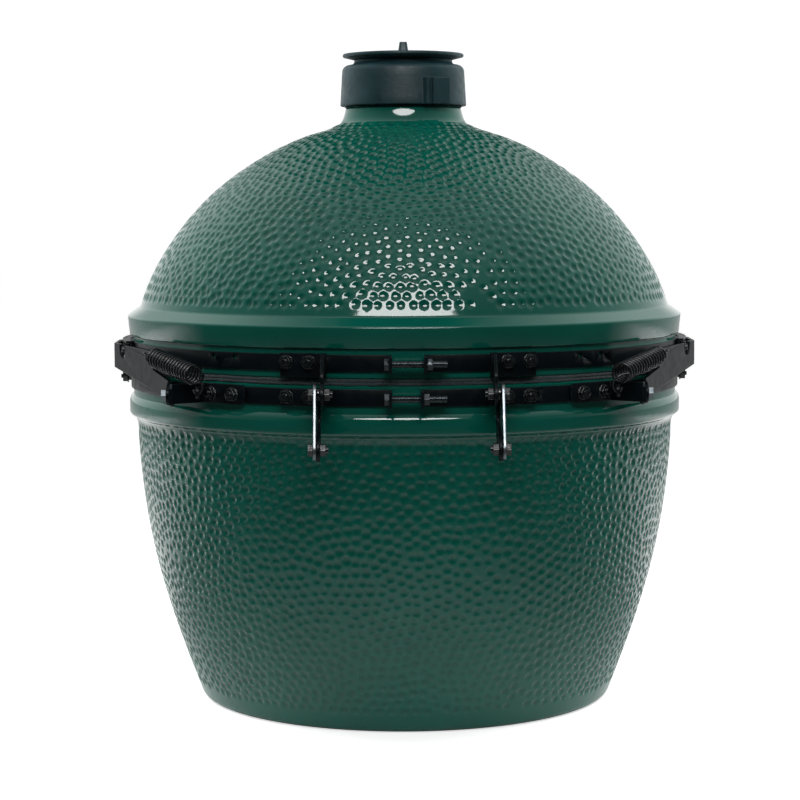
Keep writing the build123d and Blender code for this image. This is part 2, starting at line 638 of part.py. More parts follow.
# ============================================================== thermometer
CASE_R = 38.0
CASE_H = 14.0
CASE_GAP = 1.5                # the case stands this far off the glaze
DIAL_Z = CASE_GAP + 4.0       # heights along the gauge axis
FACE_T = 1.0
LENS_Z = CASE_GAP + 11.0
LENS_T = 1.6
SPINDLE_R = 1.5
gauge_axis = Axis(GAUGE_FOOT, GAUGE_DIR)
with BuildPart() as thermometer_case:
    with BuildSketch(gauge_plane.offset(CASE_GAP)):
        Circle(CASE_R)
    extrude(amount=CASE_H)
    fillet(thermometer_case.faces().sort_by(gauge_axis)[-1].edges(), 2)
    with BuildSketch(gauge_plane.offset(DIAL_Z - FACE_T)):
        Circle(CASE_R - 3)
    extrude(amount=LENS_Z - DIAL_Z + FACE_T + 1.8, mode=Mode.SUBTRACT)
    with BuildSketch(gauge_plane.offset(LENS_Z)):
        Circle(CASE_R - 4)
    extrude(amount=10, mode=Mode.SUBTRACT)
    with BuildSketch(gauge_plane):
        Circle(3.0)
    extrude(amount=20, mode=Mode.SUBTRACT)
save(thermometer_case, "thermometer_case")
with BuildPart() as thermometer_dial:
    with BuildSketch(gauge_plane.offset(DIAL_Z - FACE_T)):
        Circle(CASE_R - 3.1)
        Circle(3.1, mode=Mode.SUBTRACT)
    extrude(amount=FACE_T)
save(thermometer_dial, "thermometer_dial")
with BuildPart() as thermometer_lens:
    with BuildSketch(gauge_plane.offset(LENS_Z)):
        Circle(CASE_R - 4 - FIT)
    extrude(amount=LENS_T)
save(thermometer_lens, "thermometer_lens")
NEEDLE_HUB_R = 4.0
NEEDLE_REST = 120.0           # the cold needle points down and to the cook's left
with BuildPart() as thermometer_needle:
    with BuildSketch(gauge_plane.offset(DIAL_Z + 2.0)):
        Circle(NEEDLE_HUB_R)
        Polygon((-2.2, -9), (2.2, -9), (0.5, 29), (-0.5, 29), rotation=NEEDLE_REST, align=None)
        Circle(SPINDLE_R + RUN, mode=Mode.SUBTRACT)
    extrude(amount=1.0)
save(thermometer_needle, "thermometer_needle")
STEM_R = 2.9
STEM_LENGTH = 95.0
with BuildPart() as thermometer_stem:
    with BuildSketch(gauge_plane.offset(DIAL_Z + 1)):
        Circle(STEM_R)
    extrude(amount=-STEM_LENGTH)
    with BuildSketch(gauge_plane.offset(DIAL_Z)):
        Circle(SPINDLE_R)
    extrude(amount=4.5)
save(thermometer_stem, "thermometer_stem")
with BuildPart() as thermometer_nut:
    with BuildSketch(gauge_plane.offset(-36)):
        Circle(11)
        Circle(STEM_R + FIT, mode=Mode.SUBTRACT)
    extrude(amount=3)
save(thermometer_nut, "thermometer_nut")

# ================================================================== vent cap
CAP_BOTTOM = 724.5
CAP_TOP = 781.0
BOSS_PSI = 30.0               # the side boss stands to the right of the rear
BOSS_OUT = 83.0
BOSS_W = 34.0
BOSS_TOP = 757.0
BOSS_GROOVE = (6.5, 8.0)      # width and depth of the groove down its left part
POST_R = 4.0
POST_LOW = 768.0
POST_HEAD_R = 6.5
POST_HEAD_H = 2.4             # the head lies in a sinking, below the top of the cover
post_xy = rear_point(55.5, BOSS_PSI)
with BuildPart() as vent_gasket:
    with BuildSketch(Plane.XY.offset(NECK_TOP)):
        Circle(NECK_R - 1)
        Circle(NECK_BORE + 1, mode=Mode.SUBTRACT)
    extrude(amount=CAP_BOTTOM - NECK_TOP)
save(vent_gasket, "vent_gasket")
with BuildPart() as vent_cap:
    with BuildSketch(Plane.XZ):
        with BuildLine():
            Polyline((40, 700), (NECK_BORE - 0.5, 700), (NECK_BORE - 0.5, CAP_BOTTOM),
                     (77, CAP_BOTTOM), (78.1, CAP_BOTTOM + 1.2), (75.6, 768))
            ThreePointArc((75.6, 768), (72.6, 773), (66.9, 775))
            Spline((66.9, 775), (62.5, 776.3), (60.7, 778.7))
            Polyline((60.7, 778.7), (60.7, CAP_TOP), (50, CAP_TOP), (50, 766), (66, 758),
                     (66, 734), (40, 727), (40, 700))
        make_face()
    revolve(axis=Axis.Z)
    with BuildSketch(radial_plane(70, BOSS_PSI, (CAP_BOTTOM + BOSS_TOP) / 2)):
        Rectangle(BOSS_W, BOSS_TOP - CAP_BOTTOM)
    extrude(amount=BOSS_OUT - 70, taper=3)
    with BuildSketch(Plane.XY.offset(CAP_BOTTOM - 1)):
        with Locations(rear_point(BOSS_OUT, BOSS_PSI - 7)):
            Rectangle(*BOSS_GROOVE, rotation=BOSS_PSI)
    extrude(amount=BOSS_TOP - CAP_BOTTOM + 1, mode=Mode.SUBTRACT)
    with BuildSketch(Plane.XY.offset(POST_LOW - 1)):
        with Locations(post_xy):
            Circle(POST_R + FIT)
    extrude(amount=CAP_TOP - POST_LOW + 2, mode=Mode.SUBTRACT)
save(vent_cap, "vent_cap")
COVER_LOW = CAP_TOP + 0.3
COVER_TOP = 790.0
DIAL_FLOOR = 786.0
DIAL_R = 42.0
VENT_HOLES = 8
VENT_HOLE_R = 6.5
VENT_PITCH_R = 28.0
DIAL_SCREW_R = 3.0
DIAL_SCREW_HEAD_R = 6.0
DIAL_SCREW_SINK = 2.6         # its head is sunk into the underside of the cover
with BuildPart() as vent_cover:
    with BuildSketch(Plane.XZ):
        with BuildLine():
            Polyline((0, COVER_TOP), (0, COVER_LOW), (60, COVER_LOW), (73, 784.4))
            ThreePointArc((73, 784.4), (75, 786.6), (73.2, 788.8))
            Spline((73.2, 788.8), (62, 789.8), (50, COVER_TOP))
            Line((50, COVER_TOP), (0, COVER_TOP))
        make_face()
    revolve(axis=Axis.Z)
    with BuildSketch(Plane.XY.offset(DIAL_FLOOR)):
        Circle(DIAL_R + 0.5)
    extrude(amount=10, mode=Mode.SUBTRACT)
    with BuildSketch(Plane.XY.offset(COVER_LOW - 1)):
        with PolarLocations(VENT_PITCH_R, VENT_HOLES):
            Circle(VENT_HOLE_R)
        with Locations(post_xy):
            Circle(POST_R + RUN)
        Circle(DIAL_SCREW_R + FIT)
    extrude(amount=20, mode=Mode.SUBTRACT)
    with BuildSketch(Plane.XY.offset(COVER_LOW)):
        Circle(DIAL_SCREW_HEAD_R + GAP)
    extrude(amount=DIAL_SCREW_SINK, mode=Mode.SUBTRACT)
    with BuildSketch(Plane.XY.offset(COVER_TOP - POST_HEAD_H)):
        with Locations(post_xy):
            Circle(POST_HEAD_R + GAP)
    extrude(amount=10, mode=Mode.SUBTRACT)
save(vent_cover, "vent_cover")
with BuildPart() as vent_pivot_pin:
    with BuildSketch(Plane.XY.offset(POST_LOW)):
        with Locations(post_xy):
            Circle(POST_R)
    extrude(amount=COVER_TOP - 1 - POST_LOW)
    with BuildSketch(Plane.XY.offset(COVER_TOP - POST_HEAD_H + GAP)):
        with Locations(post_xy):
            Circle(POST_HEAD_R)
    extrude(amount=POST_HEAD_H - 2 * GAP)
save(vent_pivot_pin, "vent_pivot_pin")
KNOB_TOP = 803.0
KNOB_FOOT = (13.5, 36)          # the knob is a bar that thins toward its top
KNOB_CREST = (9, 28)
DIAL_T = 3.2
with BuildPart() as vent_dial:
    with BuildSketch(Plane.XY.offset(DIAL_FLOOR + GAP)):
        Circle(DIAL_R)
        with PolarLocations(VENT_PITCH_R, VENT_HOLES):
            Circle(VENT_HOLE_R, mode=Mode.SUBTRACT)
    extrude(amount=DIAL_T)
    with BuildSketch(Plane.XY.offset(DIAL_FLOOR + 2)):
        RectangleRounded(*KNOB_FOOT, 4)
    with BuildSketch(Plane.XY.offset(KNOB_TOP)):
        RectangleRounded(*KNOB_CREST, 3)
    loft()
    with BuildSketch(Plane.XY.offset(DIAL_FLOOR)):
        Circle(DIAL_SCREW_R + RUN)
    extrude(amount=10, mode=Mode.SUBTRACT)
save(vent_dial, "vent_dial")
with BuildPart() as vent_dial_screw:
    with BuildSketch(Plane.XY.offset(COVER_LOW + GAP)):
        Circle(DIAL_SCREW_HEAD_R)
    extrude(amount=DIAL_SCREW_SINK - GAP)
    with BuildSketch(Plane.XY.offset(COVER_LOW + GAP)):
        Circle(DIAL_SCREW_R)
    extrude(amount=DIAL_FLOOR + 9.5 - COVER_LOW - GAP)
save(vent_dial_screw, "vent_dial_screw")

# ================================================================ draft door
FRAME_HALF = 17.5             # half width of the frame, degrees
FRAME_IN = 1.3                # frame stands this far off the wall
RAIL_OUT = 9.0
DOOR_TALL = 70.0
FRAME_WINDOW = (6.0, 64.0)
with BuildPart() as draft_frame:
    with BuildSketch(azimuth_plane(90 - FRAME_HALF)):
        draft_strip(-5, 75, FRAME_IN, FRAME_IN + 1.5)
        draft_strip(-5, 0, FRAME_IN, RAIL_OUT)
        draft_strip(-5, 3.5, RAIL_OUT - 1.4, RAIL_OUT)
        draft_strip(-5, 3.0, 4.3, 5.1)
        draft_strip(DOOR_TALL, 75, FRAME_IN, RAIL_OUT)
        draft_strip(DOOR_TALL - 3.5, 75, RAIL_OUT - 1.4, RAIL_OUT)
        draft_strip(DOOR_TALL - 3.0, 75, 4.3, 5.1)
    revolve(axis=Axis.Z, revolution_arc=2 * FRAME_HALF)
    with BuildSketch(azimuth_plane(90 - DRAFT_HALF + 0.4)):
        draft_strip(DRAFT_LOW + 0.3, DRAFT_LOW + 1.8, -22, FRAME_IN + 1)
        draft_strip(DRAFT_HIGH - 1.8, DRAFT_HIGH - 0.3, -22, FRAME_IN + 1)
    revolve(axis=Axis.Z, revolution_arc=2 * DRAFT_HALF - 0.8)
    with BuildSketch(azimuth_plane(90 - DRAFT_HALF + 0.8)):
        draft_strip(FRAME_WINDOW[0] + 0.3, FRAME_WINDOW[1] - 0.3, 0, FRAME_IN + 2)
    revolve(axis=Axis.Z, revolution_arc=2 * DRAFT_HALF - 1.6, mode=Mode.SUBTRACT)
save(draft_frame, "draft_frame")


def grip_plane(n, angle):
    """Plane on the front of the door at an angle from its middle."""
    r, z = draft_point(DOOR_TALL / 2, n)
    a = math.radians(90 + angle)
    c = math.cos(DRAFT_SLOPE)
    return Plane(origin=(r * math.cos(a), r * math.sin(a), z),
                 x_dir=(-math.sin(a), math.cos(a), 0),
                 z_dir=(c * math.cos(a), c * math.sin(a), -math.sin(DRAFT_SLOPE)))


DOOR_N = 5.6
SCREEN_N = 3.1
with BuildPart() as draft_door:
    with BuildSketch(azimuth_plane(90 - FRAME_HALF + 0.8)):
        draft_strip(0.5, DOOR_TALL - 0.5, DOOR_N, DOOR_N + 1.5)
    revolve(axis=Axis.Z, revolution_arc=2 * FRAME_HALF - 1.6)
    with BuildSketch(grip_plane(DOOR_N + 0.8, 10)):
        Circle(4)
    extrude(amount=12)
    with BuildSketch(grip_plane(DOOR_N + 12, 10)):
        Circle(9)
    extrude(amount=9)
save(draft_door, "draft_door")
with BuildPart() as draft_screen:
    with BuildSketch(azimuth_plane(90 - FRAME_HALF + 0.8)):
        draft_strip(0.5, DOOR_TALL - 0.5, SCREEN_N, SCREEN_N + 0.9)
    revolve(axis=Axis.Z, revolution_arc=2 * FRAME_HALF - 1.6)
    for step in range(-4, 5):
        for s in (17, 29, 41, 53):
            a = math.radians(90 + 2.9 * step)
            r, z = draft_point(s, SCREEN_N)
            with BuildSketch(Plane(origin=(r * math.cos(a), r * math.sin(a), z),
                                   z_dir=(math.cos(a), math.sin(a), -0.329))):
                Circle(4.0)
            extrude(amount=3, both=True, mode=Mode.SUBTRACT)
save(draft_screen, "draft_screen")

# ========================================================= inside the bowl
FIRE_BOX_TOP = 235.0
GRATE_Z = 100.0
with BuildPart() as fire_box:
    with BuildSketch(Plane.XZ):
        with BuildLine():
            Polyline((60, FLOOR_Z), (168, FLOOR_Z), (184, 84), (236, 150), (256, FIRE_BOX_TOP),
                     (236, FIRE_BOX_TOP), (217, 158), (180, GRATE_Z + 12), (180, GRATE_Z),
                     (161, GRATE_Z), (150, 50), (60, 50), (60, FLOOR_Z))
        make_face()
    revolve(axis=Axis.Z)
    with BuildSketch(Plane.XZ.offset(-120)):
        with Locations((0, 72)):
            Rectangle(120, 36)
    extrude(amount=-160, mode=Mode.SUBTRACT)
    for angle in range(0, 360, 45):
        a = math.radians(angle + 22.5)
        with BuildSketch(Plane(origin=(0, 0, 150), z_dir=(math.cos(a), math.sin(a), 0))):
            Circle(9)
        extrude(amount=270, mode=Mode.SUBTRACT)
save(fire_box, "fire_box")
GRID_Z = 376.0
with BuildPart() as fire_ring:
    with BuildSketch(Plane.XZ):
        with BuildLine():
            Polyline((236, FIRE_BOX_TOP), (256, FIRE_BOX_TOP), (298, 352), (300, GRID_Z),
                     (281, GRID_Z), (279, 356), (236, FIRE_BOX_TOP))
        make_face()
    revolve(axis=Axis.Z)
save(fire_ring, "fire_ring")
GRATE_R = 178.0
GRATE_H = 10.0
GRATE_SLOTS = ((46, 8, 40), (92, 16, 34), (138, 24, 34))   # ring radius, count, length
with BuildPart() as charcoal_grate:
    with BuildSketch(Plane.XY.offset(GRATE_Z)):
        Circle(GRATE_R)
        Circle(14, mode=Mode.SUBTRACT)
        for radius, count, length in GRATE_SLOTS:
            with PolarLocations(radius, count):
                SlotOverall(length, 12, mode=Mode.SUBTRACT)
    extrude(amount=GRATE_H)
save(charcoal_grate, "charcoal_grate")
GRID_R = 304.8                # a 24 inch grid
GRID_RING = 8.0
BAR_R = 2.5
BAR_PITCH = 20.0
BAR_COUNT = 14                # bars on each side of the middle one
GRID_H = 7.0
CROSS_BARS_Y = (-170.0, 0.0, 170.0)
with BuildPart() as cooking_grid:
    with BuildSketch(Plane.XY.offset(GRID_Z)):
        Circle(GRID_R)
        Circle(GRID_R - GRID_RING, mode=Mode.SUBTRACT)
    extrude(amount=GRID_H)
    for index in range(-BAR_COUNT, BAR_COUNT + 1):
        x = index * BAR_PITCH
        half = math.sqrt((GRID_R - GRID_RING / 2) ** 2 - x ** 2)
        with BuildSketch(Plane.XZ.offset(-half)):
            with Locations((x, GRID_Z + GRID_H / 2)):
                Circle(BAR_R)
        extrude(amount=2 * half)
    for y in CROSS_BARS_Y:
        half = math.sqrt((GRID_R - GRID_RING / 2) ** 2 - y ** 2)
        with BuildSketch(Plane.YZ.offset(-half)):
            with Locations((y, GRID_Z + 3.0)):
                Rectangle(5, 5)
        extrude(amount=2 * half)
save(cooking_grid, "cooking_grid")
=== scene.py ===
import json
import math
import bpy
import numpy as np
from mathutils import Matrix, Vector, kdtree


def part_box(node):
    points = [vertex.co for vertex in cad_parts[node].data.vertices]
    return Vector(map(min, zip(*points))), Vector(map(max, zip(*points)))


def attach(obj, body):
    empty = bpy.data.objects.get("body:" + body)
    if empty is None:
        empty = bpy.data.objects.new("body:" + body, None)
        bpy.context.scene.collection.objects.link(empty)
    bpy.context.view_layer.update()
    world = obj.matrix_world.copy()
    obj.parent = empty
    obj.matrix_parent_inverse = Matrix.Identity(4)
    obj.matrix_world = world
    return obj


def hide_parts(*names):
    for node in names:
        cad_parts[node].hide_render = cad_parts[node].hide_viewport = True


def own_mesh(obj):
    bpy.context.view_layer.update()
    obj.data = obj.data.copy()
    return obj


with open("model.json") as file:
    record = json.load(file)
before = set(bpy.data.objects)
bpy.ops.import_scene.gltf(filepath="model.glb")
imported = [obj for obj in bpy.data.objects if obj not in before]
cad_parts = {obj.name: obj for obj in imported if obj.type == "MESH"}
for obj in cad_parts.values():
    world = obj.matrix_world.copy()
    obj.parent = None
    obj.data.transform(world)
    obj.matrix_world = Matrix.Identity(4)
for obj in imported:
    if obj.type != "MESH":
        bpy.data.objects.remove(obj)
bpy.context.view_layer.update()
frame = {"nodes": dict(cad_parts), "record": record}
nodes = frame["nodes"]
SEED = 11
rng = np.random.default_rng(SEED)
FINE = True
MM = 0.001
# The fixed heights below are measured from the CAD's datum, found from the lower band.
BAND_ABOVE_DATUM = 0.381
DATUM = float(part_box("lower_band")[0][2]) - BAND_ABOVE_DATUM


# ------------------------------------------------------------------ materials
def tree_of(name):
    mat = bpy.data.materials.new(name)
    mat.use_nodes = True
    tree = mat.node_tree
    return mat, tree, tree.nodes["Principled BSDF"]


def link(tree, a, b):
    tree.links.new(a, b)


def coords(tree, scale=(1, 1, 1)):
    """Position on the piece, in metres."""
    tex = tree.nodes.new("ShaderNodeTexCoord")
    mapping = tree.nodes.new("ShaderNodeMapping")
    mapping.inputs["Scale"].default_value = scale
    link(tree, tex.outputs["Object"], mapping.inputs["Vector"])
    return mapping.outputs["Vector"]


def noise(tree, vector, scale, detail=4, rough=0.6):
    n = tree.nodes.new("ShaderNodeTexNoise")
    n.inputs["Scale"].default_value = scale
    n.inputs["Detail"].default_value = detail
    n.inputs["Roughness"].default_value = rough
    link(tree, vector, n.inputs["Vector"])
    return n.outputs["Fac"]


def ramp(tree, fac, stops):
    r = tree.nodes.new("ShaderNodeValToRGB")
    els = r.color_ramp.elements
    while len(els) < len(stops):
        els.new(0.5)
    for e, (p, c) in zip(els, stops):
        e.position = p
        e.color = (*c, 1)
    link(tree, fac, r.inputs["Fac"])
    return r.outputs["Color"]


def grey(v):
    return (v, v, v)


def spread(tree, fac, lo, hi, a=0.35, b=0.65):
    """Map a..b onto lo..hi, held at both ends."""
    m = tree.nodes.new("ShaderNodeMapRange")
    for key, v in (("From Min", a), ("From Max", b), ("To Min", lo), ("To Max", hi)):
        m.inputs[key].default_value = v
    link(tree, fac, m.inputs["Value"])
    return m.outputs["Result"]


def mix(tree, fac, a, b, blend="MIX"):
    m = tree.nodes.new("ShaderNodeMix")
    m.data_type = "RGBA"
    m.blend_type = blend
    for key, v in ((0, fac), (6, a), (7, b)):
        if isinstance(v, (int, float)):
            m.inputs[key].default_value = v
        elif isinstance(v, tuple):
            m.inputs[key].default_value = (*v, 1)
        else:
            link(tree, v, m.inputs[key])
    return m.outputs[2]


def bump(tree, height, strength, distance, normal=None):
    b = tree.nodes.new("ShaderNodeBump")
    b.inputs["Strength"].default_value = strength
    b.inputs["Distance"].default_value = distance
    link(tree, height, b.inputs["Height"])
    if normal is not None:
        link(tree, normal, b.inputs["Normal"])
    return b.outputs["Normal"]


def edge_mask(tree, radius):
    """1 near a sharp edge: where a rounded normal leaves the true one."""
    bevel = tree.nodes.new("ShaderNodeBevel")
    bevel.samples = 4
    bevel.inputs["Radius"].default_value = radius
    geo = tree.nodes.new("ShaderNodeNewGeometry")
    dot = tree.nodes.new("ShaderNodeVectorMath")
    dot.operation = "DOT_PRODUCT"
    link(tree, bevel.outputs["Normal"], dot.inputs[0])
    link(tree, geo.outputs["Normal"], dot.inputs[1])
    return spread(tree, dot.outputs["Value"], 1.0, 0.0, 0.86, 0.99), bevel.outputs["Normal"]


EDGE_WEAR_AND_GLINT = 0.9 * MM


def surface(name, dark, light, rough, scale=60, metallic=0.0, bump_by=0.15, grain=900,
            wear_and_edge_glint=None, stretch=(1, 1, 1), distance=0.0004, shine=0.5):
    """Mottled colour, uneven roughness, fine bump and, if asked, lighter edges: partly worn,
    partly a painted highlight.
    """
    mat, tree, bsdf = tree_of(name)
    v = coords(tree, stretch)
    base = ramp(tree, noise(tree, v, scale), ((0.3, dark), (0.7, light)))
    fine = noise(tree, v, grain, 3)
    normal = None
    # Lighter edges, in patches: partly wear, partly a painted highlight along the edges.
    if wear_and_edge_glint:
        mask, normal = edge_mask(tree, EDGE_WEAR_AND_GLINT)
        patchy = ramp(tree, noise(tree, v, 180, 5, 0.7), ((0.42, grey(0)), (0.62, grey(1))))
        amount = mix(tree, 1.0, mask, patchy, "MULTIPLY")
        base = mix(tree, amount, base, wear_and_edge_glint)
    link(tree, base, bsdf.inputs["Base Color"])
    link(tree, spread(tree, noise(tree, v, scale * 2.3), *rough), bsdf.inputs["Roughness"])
    bsdf.inputs["Metallic"].default_value = metallic
    bsdf.inputs["Specular IOR Level"].default_value = shine
    link(tree, bump(tree, fine, bump_by, distance, normal), bsdf.inputs["Normal"])
    return mat


def glaze():
    """Glossy green glaze, darker in the dimples."""
    mat, tree, bsdf = tree_of("green_glaze")
    v = coords(tree)
    pit = tree.nodes.new("ShaderNodeAttribute")
    pit.attribute_name = "pit"
    cloud = noise(tree, v, 7, 5, 0.6)
    land = ramp(tree, cloud, ((0.3, (0.0018, 0.092, 0.066)), (0.7, (0.0028, 0.112, 0.080))))
    dimple_colour = ramp(tree, cloud, ((0.3, (0.0014, 0.072, 0.051)), (0.7, (0.0022, 0.090, 0.064))))
    base = mix(tree, pit.outputs["Fac"], land, dimple_colour)
    specks = ramp(tree, noise(tree, v, 420, 2, 0.5), ((0.66, grey(0)), (0.74, grey(1))))
    base = mix(tree, specks, base, (0.0024, 0.062, 0.044))
    link(tree, base, bsdf.inputs["Base Color"])
    link(tree, spread(tree, noise(tree, v, 22, 4), 0.055, 0.10), bsdf.inputs["Roughness"])
    bsdf.inputs["IOR"].default_value = 1.52
    waves = noise(tree, v, 55, 2, 0.4)
    grain = noise(tree, v, 700, 2, 0.5)
    n1 = bump(tree, waves, 0.10, 0.0012)
    link(tree, bump(tree, grain, 0.03, 0.0003, n1), bsdf.inputs["Normal"])
    return mat


def felt():
    """Dark fibre felt with light flecks."""
    mat, tree, bsdf = tree_of("felt")
    v = coords(tree)
    fibre = noise(tree, v, 900, 6, 0.75)
    base = ramp(tree, fibre, ((0.35, (0.004, 0.016, 0.019)), (0.55, (0.016, 0.038, 0.042)),
                              (0.72, (0.12, 0.17, 0.17))))
    link(tree, base, bsdf.inputs["Base Color"])
    bsdf.inputs["Roughness"].default_value = 0.95
    bsdf.inputs["Sheen Weight"].default_value = 0.4
    link(tree, bump(tree, fibre, 0.9, 0.0012), bsdf.inputs["Normal"])
    return mat


def bamboo():
    """Pale bamboo with its grain along X."""
    mat, tree, bsdf = tree_of("bamboo")
    v = coords(tree, (1.5, 40, 40))
    rings = noise(tree, v, 6, 6, 0.65)
    base = ramp(tree, rings, ((0.25, (0.16, 0.075, 0.026)), (0.5, (0.33, 0.175, 0.066)),
                              (0.75, (0.47, 0.28, 0.12))))
    link(tree, base, bsdf.inputs["Base Color"])
    link(tree, spread(tree, rings, 0.38, 0.55), bsdf.inputs["Roughness"])
    link(tree, bump(tree, rings, 0.35, 0.0008), bsdf.inputs["Normal"])
    return mat


def clear():
    """Clear gauge glass."""
    mat, tree, bsdf = tree_of("clear")
    v = coords(tree)
    bsdf.inputs["Base Color"].default_value = (0.95, 0.98, 0.98, 1)
    link(tree, spread(tree, noise(tree, v, 90), 0.02, 0.07), bsdf.inputs["Roughness"])
    bsdf.inputs["Transmission Weight"].default_value = 1.0
    bsdf.inputs["IOR"].default_value = 1.2
    return mat


MATS = {
    "green_glaze": glaze(),
    "felt": felt(),
    "fire_clay": surface("fire_clay", (0.30, 0.23, 0.16), (0.47, 0.38, 0.28), (0.8, 0.95),
                         scale=18, bump_by=0.5, grain=260),
    # The lighter edge colours in the entries below are partly wear, partly a painted highlight
    # along the edges.
    "black_steel": surface("black_steel", (0.0016, 0.0036, 0.0050), (0.0028, 0.0058, 0.0076),
                           (0.30, 0.42), scale=35, bump_by=0.2, grain=1400,
                           wear_and_edge_glint=(0.050, 0.065, 0.072), distance=0.0002, shine=0.12),
    "black_bolt": surface("black_bolt", (0.0022, 0.0042, 0.0052), (0.0060, 0.0095, 0.0110),
                          (0.14, 0.26), scale=160, bump_by=0.1,
                          wear_and_edge_glint=(0.045, 0.062, 0.068), shine=0.6),
    "zinc_plate": surface("zinc_plate", (0.13, 0.15, 0.165), (0.21, 0.235, 0.25), (0.28, 0.40),
                          scale=90, metallic=1.0, bump_by=0.08),
    "zinc_steel": surface("zinc_steel", (0.010, 0.015, 0.018), (0.030, 0.040, 0.044),
                          (0.18, 0.32), scale=220, metallic=0.6, wear_and_edge_glint=(0.16, 0.18, 0.18)),
    "spring_steel": surface("spring_steel", (0.0030, 0.0050, 0.0065), (0.0070, 0.0100, 0.0120),
                            (0.20, 0.30), scale=200, bump_by=0.05, shine=0.45),
    "cast_iron": surface("cast_iron", (0.0085, 0.0330, 0.0400), (0.0165, 0.0540, 0.0640),
                         (0.36, 0.52), scale=45, bump_by=0.5, grain=620,
                         wear_and_edge_glint=(0.030, 0.050, 0.055), distance=0.0005, shine=0.35),
    "stainless": surface("stainless", (0.42, 0.42, 0.40), (0.60, 0.60, 0.57), (0.24, 0.40),
                         scale=30, metallic=1.0, bump_by=0.08, stretch=(1, 1, 30)),
    "bamboo": bamboo(),
    "dial_white": surface("dial_white", (0.66, 0.64, 0.58), (0.78, 0.77, 0.72), (0.4, 0.6)),
    "needle_red": surface("needle_red", (0.35, 0.02, 0.012), (0.5, 0.035, 0.02), (0.3, 0.5)),
    "clear": clear(),
}
SLOT = {s["node"]: s["material_slot"] for s in frame["record"]["subparts"]}
# Pieces whose finish differs from the plain look of their slot.
LOOK = {"rear_link_left": "zinc_plate", "rear_link_right": "zinc_plate",
        "arm_base_pins": "zinc_plate", "arm_lid_pins": "zinc_plate"}
for bolts in ("lower_bracket_bolts", "upper_bracket_bolts", "side_stop_bolts", "side_stop_nuts",
              "link_base_pins", "link_base_nuts", "link_lid_pins", "link_lid_nuts",
              "arm_base_nuts", "link_spacers", "handle_bolts"):
    LOOK[bolts] = "black_bolt"


def wear_slot(obj, slot):
    """Give a piece its material: its own look if it has one, else that of its slot."""
    obj.data.materials.clear()
    obj.data.materials.append(MATS[LOOK.get(obj.name, slot)])
    return obj


# ------------------------------------------------------------- mesh building
def mesh_object(name, verts, faces, slot, body=None, smooth=math.radians(35), attr=None):
    """A mesh in the frame, on a body if one is given; attr is the dimple depth at each point."""
    me = bpy.data.meshes.new(name)
    verts = np.asarray(verts, np.float32)
    faces = np.asarray(faces, np.int32)
    me.vertices.add(len(verts))
    me.vertices.foreach_set("co", verts.ravel())
    me.loops.add(faces.size)
    me.loops.foreach_set("vertex_index", faces.ravel())
    me.polygons.add(len(faces))
    me.polygons.foreach_set("loop_start", np.arange(len(faces)) * faces.shape[1])
    me.update(calc_edges=True)
    me.validate()
    me.polygons.foreach_set("use_smooth", np.ones(len(me.polygons), bool))
    if smooth:
        me.set_sharp_from_angle(angle=smooth)
    if attr is not None:
        layer = me.attributes.new("pit", "FLOAT", "POINT")
        layer.data.foreach_set("value", np.asarray(attr, np.float32))
    obj = bpy.data.objects.new(name, me)
    bpy.context.scene.collection.objects.link(obj)
    wear_slot(obj, slot)
    if body:
        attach(obj, body)
    return obj


def grid_faces(rows, cols, closed=True):
    """Quads between rows of a grid whose columns go round."""
    i = np.arange(rows - 1)[:, None]
    j = np.arange(cols if closed else cols - 1)[None, :]
    k = (j + 1) % cols
    return np.stack([i * cols + j, i * cols + k, (i + 1) * cols + k, (i + 1) * cols + j],
                    -1).reshape(-1, 4)


def cut_opening(pts, faces, opening):
    """Faces left once a half angle about +Y and a height range are cut out of a shell."""
    if opening is None:
        return faces
    half, z_lo, z_hi = opening
    mid = pts[faces].mean(1)
    az = np.degrees(np.arctan2(mid[:, 0], mid[:, 1]))
    cut = (np.abs(az) < half) & (mid[:, 2] > z_lo) & (mid[:, 2] < z_hi) & (mid[:, 1] > 0)
    return faces[~cut]


def tree_from(points):
    tree = kdtree.KDTree(len(points))
    for i, p in enumerate(points):
        tree.insert(p, i)
    tree.balance()
    return tree


HOLES_WITHIN = 0.12     # the gauge's hole and the draft opening lie this near the front line
SAME_POINT = 0.7 * MM   # profile points nearer than this are one


def profile_of(node, centre_z, outward):
    """Radius and height along the skin of a turned CAD node, from the bottom round to the top."""
    me = nodes[node].data
    co = np.zeros(len(me.vertices) * 3, np.float32)
    no = np.zeros(len(me.vertices) * 3, np.float32)
    me.vertices.foreach_get("co", co)
    me.vertices.foreach_get("normal", no)
    co, no = co.reshape(-1, 3), no.reshape(-1, 3)
    front = (co[:, 1] > 0) & (np.abs(co[:, 0]) < HOLES_WITHIN)
    co, no = co[~front], no[~front]
    r = np.hypot(co[:, 0], co[:, 1])
    away = co - (0, 0, centre_z)
    side = (away * no).sum(1) > 0
    keep = side == outward
    pts = np.stack([r[keep], co[keep, 2]], 1).astype(float)
    ang = np.arctan2(pts[:, 1] - centre_z, pts[:, 0])
    pts = pts[np.argsort(ang)]
    out = [pts[0]]
    for p in pts[1:]:
        if np.hypot(*(p - out[-1])) > SAME_POINT:
            out.append(p)
    return np.array(out)


def resample(pts, step):
    """Even points along a smooth stretch of profile."""
    s = np.concatenate([[0], np.cumsum(np.hypot(*np.diff(pts, axis=0).T))])
    n = max(2, int(round(s[-1] / step)) + 1)
    t = np.linspace(0, s[-1], n)
    slopes = np.gradient(pts, s, axis=0)
    k = np.clip(np.searchsorted(s, t, side="right") - 1, 0, len(s) - 2)
    h = (s[k + 1] - s[k])[:, None]
    u = ((t - s[k]) / h[:, 0])[:, None]
    a, b = pts[k], pts[k + 1]
    ma, mb = slopes[k] * h, slopes[k + 1] * h
    return (a * (2 * u**3 - 3 * u**2 + 1) + ma * (u**3 - 2 * u**2 + u)
            + b * (-2 * u**3 + 3 * u**2) + mb * (u**3 - u**2))


